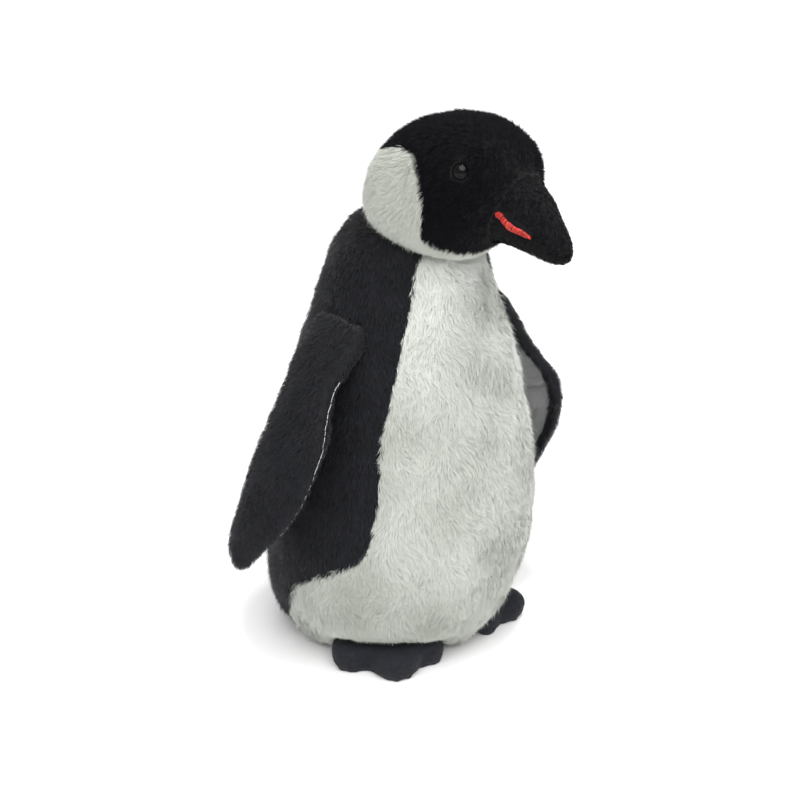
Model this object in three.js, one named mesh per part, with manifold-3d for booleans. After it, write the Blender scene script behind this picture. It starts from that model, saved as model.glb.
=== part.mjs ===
// Plush penguin, millimetres, +Z up, the penguin faces -Y and its left side is +X.
// Z = 0 is the floor: the base panel and both foot soles rest on it.
import * as THREE from 'three';
import { mergeVertices } from 'three/addons/utils/BufferGeometryUtils.js';
import Module from 'manifold-3d';

const wasm = await Module();
wasm.setup();

// ---------- driving dimensions ----------
const FABRIC = 2.6; // thickness of a fur fabric, backing and pile root
const SEAM_GAP = 0.4; // clear space between neighbouring pieces
const INSIDE = FABRIC + SEAM_GAP; // depth at which the stuffing starts

// Body: (radius, height) from the base rim up into the head.
const BODY_PROFILE = [
  [47, 0], [60, 3.5], [67.5, 12], [76, 30], [81.5, 55], [83, 83], [80, 117],
  [73.5, 150], [66.5, 181], [60, 202], [53.5, 222], [46.5, 245], [41, 258], [31, 268], [16, 273],
];
const BODY_SEGMENTS = 28;
const BASE_LEAN = 10; // the base centre sits this far back
const NECK_LEAN = -8; // and the neck this far forward
const NECK_HEIGHT = 262;
const BASE_PANEL_RADIUS = 55;
const BASE_PANEL_HEIGHT = 8; // it turns up a little at its rim
const BELLY_DEPTH = 0.97; // front-to-back squash of the body
const PELLET_RADIUS = 43;
const PELLET_HEIGHT = 24;

// Head
const HEAD_CENTRE = new THREE.Vector3(0, -41, 290);
const HEAD_RADII = new THREE.Vector3(41.5, 53, 39);
const HEAD_TILT = THREE.MathUtils.degToRad(17); // the forehead is higher than the nape
const CROWN_HALF_WIDTH = 13;

// Beak: centre line in the mid plane, with half width and half height at its root and tip
const BEAK_ROOT = [0, -62, 288];
const BEAK_BEND = [0, -106, 283];
const BEAK_TIP = [0, -125, 261];
const BEAK_ROOT_HALF = [20, 25];
const BEAK_TIP_HALF = [7, 8];
const BEAK_FABRIC = 2;

// Eyes: safety eyes on a shank with a washer inside
const EYE_DIRECTION = new THREE.Vector3(28.6, -33, 16.5);
const EYE_RADIUS = 4.8;
const EYE_HEIGHT = 3.6;
const SHANK_RADIUS = 1.4;
const SHANK_LENGTH = 11;
const WASHER_RADIUS = 5;
const WASHER_THICKNESS = 1.4;
const WASHER_DEPTH = INSIDE + 1;

// Wings: front and rear edges from the shoulder seam to the tip, right wing
const WING_FRONT = [
  [-58, -27, 212], [-66, -29, 202], [-78, -29, 190], [-88, -32, 173], [-98, -35, 151],
  [-104, -33, 137], [-109, -22, 114], [-111, -12, 101], [-111.5, 0, 88], [-110, 10, 75],
];
const WING_REAR = [
  [-58, 12, 214], [-65, 8, 207], [-76, 6, 195], [-88, 7, 171], [-100, 13, 142],
  [-108, 20, 110], [-111, 24, 95], [-111.5, 25, 84], [-110, 22, 75],
];
const WING_CAMBER = 5;
const SHOULDER_HEIGHT = 215;
const WING_DROP = 140; // from the shoulder to the tip
const LEFT_WING_FORWARD = 25; // the left wing's tip hangs this far forward of the right one's
const LEFT_SHOULDER_TUCK = 8; // and its shoulder lies this much closer to the body
const WING_OUTER_SIDE = 4.5; // from the wing's mid surface to its outer face
const WING_INNER_SIDE = 3.5; // and to its lining face
const WING_BAND = 6; // black border that turns over the edge

// Feet
const FOOT_THICKNESS = 14;
const FOOT_FABRIC = 2.2;
const FOOT_SPLAY = THREE.MathUtils.degToRad(45);
const FEET_CENTRE = 3; // the feet fan out from this point behind the origin
const FOOT_HINGE_RADIUS = 47;
const FOOT_LIFT = THREE.MathUtils.degToRad(15);
const FOOT_BEVEL = 3.5;
// toe outline of the left foot: (sideways towards the outside, forwards from the hinge)
const FOOT_OUTLINE = [
  [-22, 1], [-28, 8], [-24, 16], [-15, 19], [-10, 29], [0, 35], [10, 30],
  [17, 22], [27, 25], [36, 20], [38, 10], [30, 1],
];

// ---------- colours ----------
const BLACK_FUR = { color: 0x1d1f23, roughness: 0.95, metalness: 0 };
const WHITE_FUR = { color: 0xe9ebe8, roughness: 0.95, metalness: 0 };
const CHEEK_FUR = { color: 0xdcdcd6, roughness: 0.95, metalness: 0 };
const LINING = { color: 0xd3d4d2, roughness: 0.9, metalness: 0 };
const FOOT_CLOTH = { color: 0x2b2d39, roughness: 0.9, metalness: 0 };
const THREAD_RED = { color: 0xd8311c, roughness: 0.5, metalness: 0 };
const THREAD_WHITE = { color: 0xd8d8d8, roughness: 0.6, metalness: 0 };
const GLOSS_BLACK = { color: 0x050505, roughness: 0.08, metalness: 0 };
const WASHER_PLASTIC = { color: 0xf0efe8, roughness: 0.5, metalness: 0 };
const FIBRE = { color: 0xf4f2ec, roughness: 1, metalness: 0 };
const COTTON = { color: 0xcfc4ae, roughness: 0.9, metalness: 0 };

// ---------- solids ----------
function solidOf(geometry) {
  const bare = geometry.clone();
  bare.deleteAttribute('normal');
  bare.deleteAttribute('uv');
  const merged = mergeVertices(bare, 1e-4);
  return new wasm.Manifold(new wasm.Mesh({
    numProp: 3,
    vertProperties: new Float32Array(merged.attributes.position.array),
    triVerts: new Uint32Array(merged.index.array),
  }));
}

function geometryOf(solid) {
  const mesh = solid.getMesh();
  const geometry = new THREE.BufferGeometry();
  geometry.setAttribute('position', new THREE.BufferAttribute(mesh.vertProperties, 3));
  geometry.setIndex(new THREE.BufferAttribute(mesh.triVerts, 1));
  geometry.computeVertexNormals();
  return geometry;
}

function reshape(geometry, move) {
  const position = geometry.attributes.position;
  const point = new THREE.Vector3();
  for (let i = 0; i < position.count; i += 1) {
    point.fromBufferAttribute(position, i);
    move(point);
    position.setXYZ(i, point.x, point.y, point.z);
  }
  return geometry;
}

function box(min, max) {
  const size = max.map((value, axis) => value - min[axis]);
  const geometry = new THREE.BoxGeometry(...size);
  return solidOf(geometry.translate(...min.map((value, axis) => value + size[axis] / 2)));
}

function cylinderAlong(direction, radius, from, to) {
  const geometry = new THREE.CylinderGeometry(radius, radius, to - from, 16);
  geometry.translate(0, (from + to) / 2, 0);
  geometry.applyQuaternion(new THREE.Quaternion().setFromUnitVectors(THREE.Object3D.DEFAULT_UP, direction));
  return geometry;
}

function union(solids) {
  return solids.reduce((sum, solid) => sum.add(solid));
}

// A smooth closed outline through the points.
function closedCurve(points, divisions) {
  return new THREE.SplineCurve([...points, points[0].clone()]).getPoints(divisions).slice(0, -1);
}

// Moves every side of a closed outline outwards by the distance, or inwards where it is negative.
function offsetOutline(outline, distance) {
  const turn = Math.sign(THREE.ShapeUtils.area(outline));
  const outwardOf = (from, to) => {
    const side = to.clone().sub(from).normalize();
    return new THREE.Vector2(side.y, -side.x).multiplyScalar(turn);
  };
  return outline.map((point, i) => {
    const before = outwardOf(outline.at(i - 1), point);
    const after = outwardOf(point, outline[(i + 1) % outline.length]);
    const mitre = before.clone().add(after).divideScalar(1 + before.dot(after));
    return point.clone().addScaledVector(mitre, distance);
  });
}

// A closed outline in the side view (y, z) carried right across the object along X.
function sidePrism(points, margin = 0, curved = true) {
  const flat = points.map(([y, z]) => new THREE.Vector2(y, z));
  const outline = curved ? closedCurve(flat, points.length * 2) : flat;
  const shape = new THREE.Shape(offsetOutline(outline, margin));
  const geometry = new THREE.ExtrudeGeometry(shape, { depth: 300, bevelEnabled: false });
  return solidOf(reshape(geometry, (p) => p.set(p.z - 150, p.x, p.y)));
}

function mirrored(solid) {
  return solid.mirror([1, 0, 0]);
}

// ---------- body ----------
function bodyLean(height) {
  const rise = THREE.MathUtils.clamp(height / NECK_HEIGHT, 0, 1.1);
  return THREE.MathUtils.lerp(BASE_LEAN, NECK_LEAN, Math.sqrt(rise));
}

// The body's outer surface moved inwards by the given depth, before the feet dent it.
function bodyForm(depth) {
  const curve = new THREE.SplineCurve(BODY_PROFILE.map(([r, z]) => new THREE.Vector2(r, z)));
  const samples = curve.getSpacedPoints(16);
  const floor = depth;
  const ring = samples.map((point, i) => {
    const tangent = curve.getTangentAt(i / 16);
    return new THREE.Vector2(point.x - tangent.y * depth, Math.max(point.y + tangent.x * depth, floor));
  });
  const top = ring[ring.length - 1].y;
  const profile = [new THREE.Vector2(0, floor), ...ring, new THREE.Vector2(0, top)];
  const geometry = new THREE.LatheGeometry(profile, BODY_SEGMENTS);
  return solidOf(reshape(geometry, (p) => {
    p.set(p.x, -p.z, p.y);
    p.y = p.y * BELLY_DEPTH + bodyLean(p.z);
  }));
}

// ---------- head and beak ----------
function headForm(depth) {
  const geometry = new THREE.SphereGeometry(1, 26, 16);
  geometry.rotateX(Math.PI / 2);
  const radii = HEAD_RADII.clone().subScalar(depth);
  geometry.scale(radii.x, radii.y, radii.z);
  geometry.rotateX(-HEAD_TILT);
  return solidOf(geometry.translate(...HEAD_CENTRE));
}

function beakForm(depth) {
  const line = new THREE.QuadraticBezierCurve3(
    new THREE.Vector3(...BEAK_ROOT), new THREE.Vector3(...BEAK_BEND), new THREE.Vector3(...BEAK_TIP));
  const geometry = new THREE.SphereGeometry(1, 16, 10);
  const sideways = new THREE.Vector3(1, 0, 0);
  return solidOf(reshape(geometry, (p) => {
    const along = THREE.MathUtils.clamp((1 - p.y) / 2, 0, 1);
    const ringRadius = Math.max(Math.hypot(p.x, p.z), 1e-9);
    const [x, z] = [p.x / ringRadius, p.z / ringRadius];
    const ends = Math.sqrt(Math.max(1 - Math.abs(2 * along - 1) ** 6, 0));
    const [halfWidth, halfHeight] = [0, 1].map((axis) =>
      Math.max(THREE.MathUtils.lerp(BEAK_ROOT_HALF[axis], BEAK_TIP_HALF[axis], along) - depth, 0.5) * ends);
    const centre = line.getPoint(THREE.MathUtils.lerp(0, 1 - depth / 70, along));
    const up = line.getTangent(along).cross(sideways).normalize().negate();
    p.copy(centre).addScaledVector(sideways, -x * halfWidth).addScaledVector(up, z * halfHeight);
  }));
}

// ---------- feet ----------
// A left foot slab in the foot's own frame, its outline moved inwards by the inset.
function footSlab(inset, bottom, top, bevel = 0) {
  const flat = FOOT_OUTLINE.map(([side, forward]) => new THREE.Vector2(-side, forward));
  const shape = new THREE.Shape(offsetOutline(closedCurve(flat, 22), -inset));
  const geometry = new THREE.ExtrudeGeometry(shape, {
    depth: top - bottom - bevel * 2,
    bevelEnabled: bevel > 0,
    bevelThickness: bevel,
    bevelSize: bevel,
    bevelOffset: -bevel,
    bevelSegments: 2,
  });
  return solidOf(geometry.translate(0, 0, bottom + bevel));
}

function footPlace(geometryOrSolid, lift = 0) {
  const lifted = geometryOrSolid.rotate([THREE.MathUtils.radToDeg(lift), 0, 0]);
  return lifted
    .translate([0, FOOT_HINGE_RADIUS, 0])
    .rotate([0, 0, 180 + THREE.MathUtils.radToDeg(FOOT_SPLAY)])
    .translate([0, FEET_CENTRE, 0]);
}

// The room that a foot sweeps as it lifts, with a margin round it.
function footRoom(margin) {
  const steps = [0, 0.25, 0.5, 0.75, 1];
  const slab = footSlab(-margin, -FOOT_BEVEL, FOOT_THICKNESS + margin, FOOT_BEVEL);
  const left = union(steps.map((step) => footPlace(slab, step * FOOT_LIFT)));
  return left.add(mirrored(left));
}

// ---------- wings ----------
const wingFront = new THREE.CatmullRomCurve3(WING_FRONT.map((p) => new THREE.Vector3(...p)));
const wingRear = new THREE.CatmullRomCurve3(WING_REAR.map((p) => new THREE.Vector3(...p)));
const WING_LENGTH = wingFront.getLength();

// A point of the right wing: along runs 0 at the root to 1 at the tip, across runs 0 rear to 1 front.
function wingMid(along, across) {
  const rear = wingRear.getPointAt(along);
  const front = wingFront.getPointAt(along);
  const chord = front.clone().sub(rear);
  const down = wingFront.getTangentAt(along).add(wingRear.getTangentAt(along));
  const outward = down.cross(chord).normalize();
  const camber = 4 * across * (1 - across) * WING_CAMBER;
  return { point: rear.addScaledVector(chord, across).addScaledVector(outward, camber), outward, chord };
}

// A layer of the right wing between two offsets from its mid surface, inset from its outline.
function wingLayer(inset, inner, outer) {
  const geometry = new THREE.BoxGeometry(1, 1, 1, 5, 1, 14);
  return solidOf(reshape(geometry, (p) => {
    const along = THREE.MathUtils.lerp(inset / WING_LENGTH, 1 - inset / WING_LENGTH, p.z + 0.5);
    const width = wingMid(along, 0.5).chord.length();
    const round = Math.sqrt(1 - Math.max((along - 0.9) / 0.1, 0) ** 2 * 0.75);
    const reach = Math.max((width / 2 - inset) * round, 1) / width;
    const offset = p.y < 0 ? inner : outer;
    const { point, outward } = wingMid(along, 0.5 + 2 * p.x * reach);
    p.copy(point).addScaledVector(outward, offset);
  }));
}

// ---------- panels ----------
const bodyOuter = bodyForm(0).subtract(footRoom(SEAM_GAP));
const bodyInner = bodyForm(FABRIC).subtract(footRoom(SEAM_GAP + FABRIC));
const bodyFilling = bodyForm(INSIDE).subtract(footRoom(SEAM_GAP + INSIDE));
const headShell = headForm(0).subtract(headForm(FABRIC));
const neckOpening = bodyForm(INSIDE).intersect(box([-60, -90, 235], [60, 60, 275]));
const bodyShell = bodyOuter.subtract(bodyInner).subtract(headForm(-SEAM_GAP));

// White belly in the side view: its edge runs down the flank and wraps back low on the sides.
const BELLY_OUTLINE = [
  [-120, 285], [-38, 285], [-40, 254], [-42, 215], [-44, 172], [-46, 120], [-46, 99], [-44, 90],
  [-37, 81], [-25, 72], [-9, 63], [7, 53], [12, 44], [28, 19], [40, -10], [-120, -10],
];
// White cheek in the side view, from the back of the face to the nape and forward under the chin.
const CHEEK_OUTLINE = [
  [-9, 308.5], [-22, 312], [-34, 314.5], [-45, 312.5], [-53, 304.5], [-57, 292], [-55, 279],
  [-51, 270], [-54, 263.5], [-62, 259], [-76, 254], [-76, 240], [-45, 236], [-18, 240],
  [-2, 252], [9, 268], [11, 285], [3, 300],
];
const NAPE_HALF_WIDTH = 17;

function bodyPanels() {
  const basePlug = baseColumn(BASE_PANEL_RADIUS, -1, BASE_PANEL_HEIGHT);
  const baseHole = baseColumn(BASE_PANEL_RADIUS + SEAM_GAP, -1, BASE_PANEL_HEIGHT + SEAM_GAP);
  const wall = bodyShell.subtract(baseHole);
  const back = wall.subtract(sidePrism(BELLY_OUTLINE, 0, false));
  const side = SEAM_GAP / 2;
  return {
    belly: wall.intersect(sidePrism(BELLY_OUTLINE, -SEAM_GAP, false)),
    backLeft: back.intersect(box([side, -150, -5], [150, 150, 300])),
    backRight: back.intersect(box([-150, -150, -5], [-side, 150, 300])),
    base: bodyShell.intersect(basePlug),
  };
}

// An upright round column on the base centre.
function baseColumn(radius, bottom, top) {
  const geometry = new THREE.CylinderGeometry(radius, radius, top - bottom, BODY_SEGMENTS);
  geometry.rotateX(Math.PI / 2);
  return solidOf(geometry.translate(0, BASE_LEAN, (bottom + top) / 2));
}

function crownRegion(margin) {
  const strip = box([-CROWN_HALF_WIDTH - margin, -120, 290 - margin], [CROWN_HALF_WIDTH + margin, 60, 350]);
  const nape = box([-NAPE_HALF_WIDTH - margin, -34, 225], [NAPE_HALF_WIDTH + margin, 60, 350]);
  return strip.add(nape);
}

function headPanels() {
  const shell = headShell.subtract(neckOpening).subtract(beakForm(-SEAM_GAP));
  const rest = shell.subtract(crownRegion(SEAM_GAP));
  const face = rest.subtract(sidePrism(CHEEK_OUTLINE));
  const cheeks = rest.intersect(sidePrism(CHEEK_OUTLINE, -SEAM_GAP));
  const leftHalf = box([SEAM_GAP / 2, -150, 200], [150, 150, 400]);
  return {
    crown: shell.intersect(crownRegion(0)),
    faceLeft: face.intersect(leftHalf).subtract(eyeHole),
    cheekLeft: cheeks.intersect(leftHalf),
  };
}

// ---------- eyes ----------
const headTurn = new THREE.Quaternion().setFromAxisAngle(new THREE.Vector3(1, 0, 0), -HEAD_TILT);
const eyeRay = EYE_DIRECTION.clone().applyQuaternion(headTurn.clone().invert());
const eyeOnHead = eyeRay.divideScalar(eyeRay.clone().divide(HEAD_RADII).length());
const eyeFacing = eyeOnHead.clone().divide(HEAD_RADII).divide(HEAD_RADII).applyQuaternion(headTurn).normalize();
const eyeSeat = eyeOnHead.applyQuaternion(headTurn).add(HEAD_CENTRE);

function eyeAt(geometry) {
  geometry.applyQuaternion(new THREE.Quaternion().setFromUnitVectors(THREE.Object3D.DEFAULT_UP, eyeFacing));
  return solidOf(geometry.translate(...eyeSeat));
}

function eyeBody() {
  const dome = new THREE.EllipseCurve(0, 0.6, EYE_RADIUS, EYE_HEIGHT, 0, Math.PI / 2).getPoints(6);
  const profile = [
    new THREE.Vector2(0, -SHANK_LENGTH),
    new THREE.Vector2(SHANK_RADIUS, -SHANK_LENGTH),
    new THREE.Vector2(SHANK_RADIUS, 0.5),
    new THREE.Vector2(EYE_RADIUS, 0.5),
    ...dome.slice(0, -1),
    new THREE.Vector2(0, 0.6 + EYE_HEIGHT),
  ];
  return eyeAt(new THREE.LatheGeometry(profile, 18));
}

function eyeWasher() {
  const top = -WASHER_DEPTH;
  const profile = [
    [SHANK_RADIUS + SEAM_GAP, top], [SHANK_RADIUS + SEAM_GAP, top - WASHER_THICKNESS],
    [WASHER_RADIUS, top - WASHER_THICKNESS], [WASHER_RADIUS, top], [SHANK_RADIUS + SEAM_GAP, top],
  ].map(([r, h]) => new THREE.Vector2(r, h));
  return eyeAt(new THREE.LatheGeometry(profile, 18));
}

function eyeCut(radius, from, to) {
  return eyeAt(cylinderAlong(THREE.Object3D.DEFAULT_UP, radius, from, to));
}

const eyeHole = eyeCut(SHANK_RADIUS + SEAM_GAP, -SHANK_LENGTH - SEAM_GAP, 2);
const washerPocket = eyeCut(WASHER_RADIUS + SEAM_GAP, -WASHER_DEPTH - WASHER_THICKNESS - SEAM_GAP, 2);

// ---------- beak, mouth ----------
// The line between the upper and the lower beak, in the side view.
const LOWER_BEAK = [[-60, 283], [-88, 283], [-95, 280], [-108, 274.5], [-140, 259], [-140, 225], [-60, 225]];
const MOUTH_STITCH = [
  [-88.5, 285.5], [-91.5, 286], [-95, 283.5], [-99, 282], [-105, 279.5], [-110.5, 274],
  [-104, 275], [-98, 276.5], [-94, 278.5], [-91.5, 281], [-89, 283],
];

function beakPieces() {
  const headRoom = headForm(-SEAM_GAP);
  const skin = beakForm(0).subtract(beakForm(BEAK_FABRIC)).subtract(headRoom);
  return {
    upper: skin.subtract(sidePrism(LOWER_BEAK, 0, false)),
    lower: skin.intersect(sidePrism(LOWER_BEAK, -SEAM_GAP, false)),
    filling: beakForm(BEAK_FABRIC + SEAM_GAP).subtract(headRoom),
  };
}

function mouthStitchLeft() {
  const skin = beakForm(-1.3).add(headForm(-1.3)).subtract(beakForm(-0.35)).subtract(headForm(-0.35));
  return skin.intersect(sidePrism(MOUTH_STITCH)).intersect(box([1, -150, 200], [150, 150, 400]));
}

// ---------- assembly ----------
const penguin = new THREE.Group();
penguin.name = 'plush_penguin';

function add(name, solid, look) {
  const mesh = new THREE.Mesh(geometryOf(solid), new THREE.MeshStandardMaterial(look));
  mesh.name = name;
  penguin.add(mesh);
}

// Adds a piece that is made for one side, and its mirror image for the other.
function addPair(name, solid, look, madeFor) {
  const other = mirrored(solid);
  add(`${name}_left`, madeFor === 'left' ? solid : other, look);
  add(`${name}_right`, madeFor === 'left' ? other : solid, look);
}

// The mirror image of a piece of the right wing, bent as the left wing hangs.
function leftWing(solid) {
  return mirrored(solid).warp((p) => {
    const along = THREE.MathUtils.clamp((SHOULDER_HEIGHT - p[2]) / WING_DROP, 0, 1);
    p[0] -= LEFT_SHOULDER_TUCK * Math.sin(Math.PI * Math.min(along * 2, 1)) ** 2;
    p[1] -= LEFT_WING_FORWARD * along ** 2;
  });
}

function addWing(name, solid, look) {
  add(`${name}_left`, leftWing(solid), look);
  add(`${name}_right`, solid, look);
}

function addBody() {
  const panels = bodyPanels();
  const bag = bodyFilling.intersect(baseColumn(PELLET_RADIUS, -1, PELLET_HEIGHT));
  const bagRoom = baseColumn(PELLET_RADIUS + SEAM_GAP, -1, PELLET_HEIGHT + SEAM_GAP);
  const headRoom = headForm(-SEAM_GAP).subtract(neckOpening).add(headForm(INSIDE - SEAM_GAP));
  add('belly_panel', panels.belly, WHITE_FUR);
  add('back_panel_left', panels.backLeft, BLACK_FUR);
  add('back_panel_right', panels.backRight, BLACK_FUR);
  add('base_panel', panels.base, WHITE_FUR);
  add('pellet_bag', bag, COTTON);
  add('body_stuffing', bodyFilling.subtract(bagRoom).subtract(headRoom), FIBRE);
}

function addHead() {
  const panels = headPanels();
  const beak = beakPieces();
  const pockets = eyeHole.add(washerPocket);
  add('head_stuffing', headForm(INSIDE).subtract(pockets).subtract(mirrored(pockets)), FIBRE);
  add('crown_panel', panels.crown, BLACK_FUR);
  addPair('face_panel', panels.faceLeft, BLACK_FUR, 'left');
  addPair('cheek_patch', panels.cheekLeft, CHEEK_FUR, 'left');
  add('beak_upper', beak.upper, BLACK_FUR);
  add('beak_lower', beak.lower, BLACK_FUR);
  add('beak_stuffing', beak.filling, FIBRE);
  addPair('mouth_stitch', mouthStitchLeft(), THREAD_RED, 'left');
  addPair('eye', eyeBody(), GLOSS_BLACK, 'left');
  addPair('eye_washer', eyeWasher(), WASHER_PLASTIC, 'left');
}

function addWings() {
  const pocket = wingLayer(WING_BAND, -WING_INNER_SIDE - 2, WING_OUTER_SIDE - FABRIC);
  const lining = wingLayer(WING_BAND + SEAM_GAP, -WING_INNER_SIDE, -WING_INNER_SIDE + 2);
  const padding = wingLayer(WING_BAND + SEAM_GAP, -WING_INNER_SIDE + 2 + SEAM_GAP, WING_OUTER_SIDE - INSIDE);
  addWing('wing_outer', wingLayer(0, -WING_INNER_SIDE, WING_OUTER_SIDE).subtract(pocket), BLACK_FUR);
  addWing('wing_lining', lining, LINING);
  addWing('wing_padding', padding, FIBRE);
}

function addFeet() {
  const splitHeight = FOOT_FABRIC + SEAM_GAP;
  const above = box([-99, -99, splitHeight], [99, 99, 99]);
  const whole = footSlab(0, -FOOT_BEVEL, FOOT_THICKNESS, FOOT_BEVEL);
  const wallInset = FOOT_FABRIC * 1.6;
  const hollow = footSlab(wallInset, 0, FOOT_THICKNESS - FOOT_FABRIC);
  const filling = footSlab(wallInset + SEAM_GAP, 0, FOOT_THICKNESS - FOOT_FABRIC - SEAM_GAP);
  const soleLayer = box([-99, -99, 0], [99, 99, FOOT_FABRIC]);
  addPair('foot_top', footPlace(whole.subtract(hollow).intersect(above)), FOOT_CLOTH, 'left');
  addPair('foot_padding', footPlace(filling.intersect(above)), FIBRE, 'left');
  addPair('foot_sole', footPlace(whole.intersect(soleLayer)), FOOT_CLOTH, 'left');
}

addBody();
addHead();
addWings();
addFeet();

export default penguin;
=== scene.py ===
"""Plush penguin: fabric skins, pile, eyes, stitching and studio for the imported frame. Metres, +Z up."""
import math

import bmesh
import bpy
import numpy as np
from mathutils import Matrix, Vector
from mathutils.bvhtree import BVHTree


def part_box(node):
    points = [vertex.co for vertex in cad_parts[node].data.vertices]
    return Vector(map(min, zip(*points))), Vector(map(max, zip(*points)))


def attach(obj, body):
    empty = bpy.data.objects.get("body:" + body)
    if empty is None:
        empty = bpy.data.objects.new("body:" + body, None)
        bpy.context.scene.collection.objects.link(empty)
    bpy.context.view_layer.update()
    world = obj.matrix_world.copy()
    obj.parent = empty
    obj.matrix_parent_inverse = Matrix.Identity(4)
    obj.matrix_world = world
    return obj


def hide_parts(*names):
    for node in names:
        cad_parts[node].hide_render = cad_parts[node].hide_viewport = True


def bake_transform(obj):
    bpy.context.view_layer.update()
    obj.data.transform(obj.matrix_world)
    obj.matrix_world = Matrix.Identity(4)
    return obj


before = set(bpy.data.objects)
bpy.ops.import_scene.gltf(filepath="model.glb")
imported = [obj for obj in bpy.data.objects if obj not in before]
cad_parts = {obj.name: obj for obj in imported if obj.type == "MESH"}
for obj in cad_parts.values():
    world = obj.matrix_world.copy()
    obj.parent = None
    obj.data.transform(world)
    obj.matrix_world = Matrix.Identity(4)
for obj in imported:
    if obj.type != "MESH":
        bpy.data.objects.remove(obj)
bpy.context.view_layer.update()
MM = 0.001
SIDES = ("left", "right")

# ---------- camera ----------
VIEW_AZIMUTH = math.radians(-45)
VIEW_ELEVATION = math.radians(20)
VIEW_DISTANCE = 0.85
VIEW_PIVOT = Vector((0, 0, 0.165))
VIEW_AIM_DROP = 0.0143
LENS_MM = 62.7

# ---------- fabric ----------
BODY_VOXEL = 4 * MM
HEAD_VOXEL = 3 * MM
LIMB_VOXEL = 2.5 * MM
CLOTH_FRAMES = 20
RESTORE_ROUNDS = 6
BACKING_THICKNESS = 1.4 * MM
CLOTH_STIFFNESS = 12
CLOTH_BENDING = 2
CLOTH_QUALITY = 5


# ---------- small helpers ----------
def unit(v):
    return v / np.maximum(np.linalg.norm(v, axis=-1, keepdims=True), 1e-12)


def waves(points, scale, seed, count=7):
    """Smooth noise, mostly from -1 to 1, that repeats over about the scale: a sum of a few sine waves."""
    rng = np.random.default_rng(seed)
    directions = unit(rng.normal(size=(count, 3))) * rng.uniform(0.7, 1.5, (count, 1))
    phases = rng.uniform(0, 2 * math.pi, count)
    return np.sin(points @ directions.T * (2 * math.pi / scale) + phases).sum(1) / math.sqrt(count * 1.5)


def vertices_of(mesh):
    flat = np.empty(len(mesh.vertices) * 3)
    mesh.vertices.foreach_get("co", flat)
    return flat.reshape(-1, 3)


def set_vertices(mesh, points):
    mesh.vertices.foreach_set("co", np.asarray(points, float).ravel())
    mesh.update()


def normals_of(mesh):
    flat = np.empty(len(mesh.vertices) * 3, np.float32)
    mesh.vertex_normals.foreach_get("vector", flat)
    return flat.reshape(-1, 3).astype(float)


def add_object(name, mesh):
    obj = bpy.data.objects.new(name, mesh)
    bpy.context.collection.objects.link(obj)
    return obj


def baked(obj):
    """The object's mesh with its modifiers applied."""
    graph = bpy.context.evaluated_depsgraph_get()
    mesh = bpy.data.meshes.new_from_object(obj.evaluated_get(graph))
    obj.modifiers.clear()
    obj.data = mesh
    return obj


def smooth_shaded(mesh):
    mesh.polygons.foreach_set("use_smooth", [True] * len(mesh.polygons))


def edges_of(mesh):
    flat = np.empty(len(mesh.edges) * 2, np.int64)
    mesh.edges.foreach_get("vertices", flat)
    return flat.reshape(-1, 2)


def neighbour_mean(values, edges, counts):
    total = np.zeros_like(values)
    np.add.at(total, edges[:, 0], values[edges[:, 1]])
    np.add.at(total, edges[:, 1], values[edges[:, 0]])
    return total / counts


def relax(mesh, rounds):
    """Smooths a closed mesh without shrinking it (Taubin's two steps)."""
    points, edges = vertices_of(mesh), edges_of(mesh)
    counts = np.maximum(np.bincount(edges.ravel(), minlength=len(points)), 1)[:, None]
    for _ in range(rounds):
        for step in (0.5, -0.52):
            points = points + step * (neighbour_mean(points, edges, counts) - points)
    set_vertices(mesh, points)


def largest_part(mesh):
    """Drops every loose part but the one with the most vertices."""
    work = bmesh.new()
    work.from_mesh(mesh)
    seen, parts = set(), []
    for start in work.verts:
        if start in seen:
            continue
        seen.add(start)
        part, stack = [], [start]
        while stack:
            vert = stack.pop()
            part.append(vert)
            for edge in vert.link_edges:
                other = edge.other_vert(vert)
                if other not in seen:
                    seen.add(other)
                    stack.append(other)
        parts.append(part)
    parts.sort(key=len)
    bmesh.ops.delete(work, geom=[v for part in parts[:-1] for v in part], context="VERTS")
    work.to_mesh(mesh)
    work.free()


def fused(name, nodes, voxel, rounds):
    """One smooth closed form round several CAD nodes."""
    work = bmesh.new()
    for part in nodes:
        work.from_mesh(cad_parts[part].data)
    mesh = bpy.data.meshes.new(name)
    work.to_mesh(mesh)
    work.free()
    obj = add_object(name, mesh)
    remesh = obj.modifiers.new("fuse", "REMESH")
    remesh.mode = "VOXEL"
    remesh.voxel_size = voxel
    baked(obj)
    largest_part(obj.data)
    relax(obj.data, rounds)
    return obj


def restored(mesh, panels):
    """Brings a smoothed form back out to the surface it was made from, without its facets."""
    points, normals, edges = vertices_of(mesh), normals_of(mesh), edges_of(mesh)
    counts = np.maximum(np.bincount(edges.ravel(), minlength=len(points)), 1)[:, None]
    nearest = np.array([panels.tree.find_nearest(p)[0] for p in points.tolist()])
    gap = ((nearest - points) * normals).sum(1, keepdims=True)
    for _ in range(RESTORE_ROUNDS):
        gap = neighbour_mean(gap, edges, counts)
    set_vertices(mesh, points + normals * gap)


def filleted(mesh, weight, rounds):
    """Fills a hollow corner softly, by smoothing only the weighted part of the mesh."""
    points, edges = vertices_of(mesh), edges_of(mesh)
    counts = np.maximum(np.bincount(edges.ravel(), minlength=len(points)), 1)[:, None]
    for _ in range(rounds):
        points = points + 0.5 * weight[:, None] * (neighbour_mean(points, edges, counts) - points)
    set_vertices(mesh, points)


def bulge(points, centre, radius):
    """A soft bump round a point and its mirror image."""
    folded = np.column_stack([np.abs(points[:, 0]), points[:, 1:]])
    away = ((folded - np.array(centre)) ** 2).sum(1)
    return np.exp(-away / (2 * radius**2))


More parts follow.
